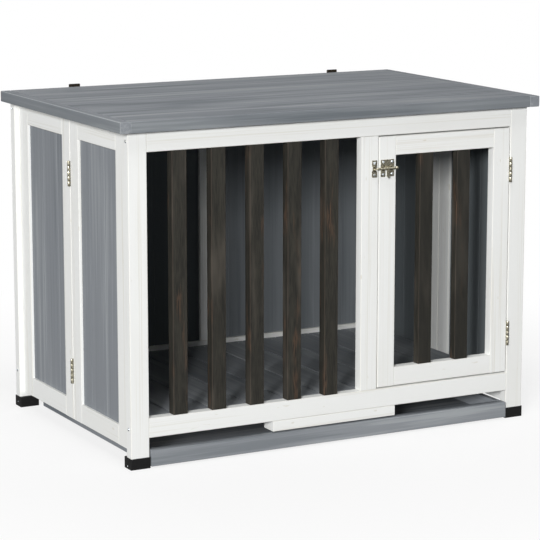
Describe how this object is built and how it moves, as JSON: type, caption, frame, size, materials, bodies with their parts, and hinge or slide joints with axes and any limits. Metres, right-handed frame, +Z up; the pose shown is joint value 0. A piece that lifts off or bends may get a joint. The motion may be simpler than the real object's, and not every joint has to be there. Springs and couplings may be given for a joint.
{
  "type": "dog crate end table",
  "caption": "Low wooden dog crate with dark bars, a hinged barred door and a barrel bolt, under a hinged plank table top, with a sliding tray below.",
  "frame": {"origin": "bottom centre of the whole object: on the ground, midway between its sides and between the front edge of the table top and the barrels of the lid hinges", "axes": "+X to the right of someone facing the door, +Y from the front to the rear, +Z up"},
  "size_m": [0.85, 0.5494, 0.616],
  "materials": {
    "white_paint": "white paint with faint grain",
    "grey_stain": "grey opaque stain with brushed grain",
    "dark_stain": "dark brown stain, open grain",
    "black_plastic": "satin moulded",
    "nickel": "nickel plated, slightly brushed",
    "black_steel": "blackened"
  },
  "bodies": {
    "root": {"front_left_post": "white_paint", "front_right_post": "white_paint", "rear_left_post": "white_paint", "rear_right_post": "white_paint", "front_top_rail": "white_paint", "front_bottom_rail": "white_paint", "door_jamb": "white_paint", "centre_block": "white_paint", "rear_top_rail": "white_paint", "rear_bottom_rail": "white_paint", "rear_centre_stile": "white_paint", "left_front_panel_frame": "white_paint", "left_rear_panel_frame": "white_paint", "right_front_panel_frame": "white_paint", "right_rear_panel_frame": "white_paint", "front_floor_ledge": "white_paint", "rear_floor_ledge": "white_paint", "rear_left_board": "grey_stain", "rear_right_board": "grey_stain", "left_front_panel_board": "grey_stain", "left_rear_panel_board": "grey_stain", "right_front_panel_board": "grey_stain", "right_rear_panel_board": "grey_stain", "bay_bar_1": "dark_stain", "bay_bar_2": "dark_stain", "bay_bar_3": "dark_stain", "bay_bar_4": "dark_stain", "bay_bar_5": "dark_stain", "front_left_foot": "black_plastic", "front_right_foot": "black_plastic", "rear_left_foot": "black_plastic", "rear_right_foot": "black_plastic", "left_lower_panel_hinge": "nickel", "left_upper_panel_hinge": "nickel", "right_lower_panel_hinge": "nickel", "right_upper_panel_hinge": "nickel", "lower_door_hinge_post_leaf": "nickel", "upper_door_hinge_post_leaf": "nickel", "bolt_keeper": "nickel", "left_lid_hinge_frame_leaf": "black_steel", "right_lid_hinge_frame_leaf": "black_steel"},
    "lid": {"top_planks": "grey_stain", "top_left_end_strip": "grey_stain", "top_right_end_strip": "grey_stain", "left_lid_hinge_lid_leaf": "black_steel", "right_lid_hinge_lid_leaf": "black_steel"},
    "door": {"door_latch_stile": "white_paint", "door_hinge_stile": "white_paint", "door_bottom_rail": "white_paint", "door_top_rail": "white_paint", "door_bar_1": "dark_stain", "door_bar_2": "dark_stain", "lower_door_hinge_door_leaf": "nickel", "upper_door_hinge_door_leaf": "nickel", "bolt_plate": "nickel"},
    "bolt": {"bolt_rod": "nickel"},
    "lever": {"bolt_lever": "nickel"},
    "floor": {"floor_panel": "grey_stain"},
    "tray": {"tray_front": "grey_stain", "tray_box": "grey_stain"}
  },
  "joints": [
    {"name": "lid_hinge", "type": "hinge", "parent": "root", "child": "lid", "pos_m": [0, 0.27215, 0.59], "axis": [-1, 0, 0], "range_deg": [0, 180]},
    {"name": "door_hinge", "type": "hinge", "parent": "root", "child": "door", "pos_m": [0.37, -0.26545, 0.3], "axis": [0, 0, 1], "range_deg": [0, 180]},
    {"name": "bolt_slide", "type": "slide", "parent": "door", "child": "bolt", "axis": [1, 0, 0], "range_m": [-0.0045, 0.0052]},
    {"name": "lever_turn", "type": "hinge", "parent": "bolt", "child": "lever", "pos_m": [0.1037, -0.26745, 0.4957], "axis": [-1, 0, 0], "range_deg": [0, 90]},
    {"name": "floor_lift", "type": "slide", "parent": "root", "child": "floor", "axis": [0, 0, 1], "range_m": [0, 0.45]},
    {"name": "tray_slide", "type": "slide", "parent": "root", "child": "tray", "axis": [0, -1, 0], "range_m": [0, 0.45]}
  ]
}
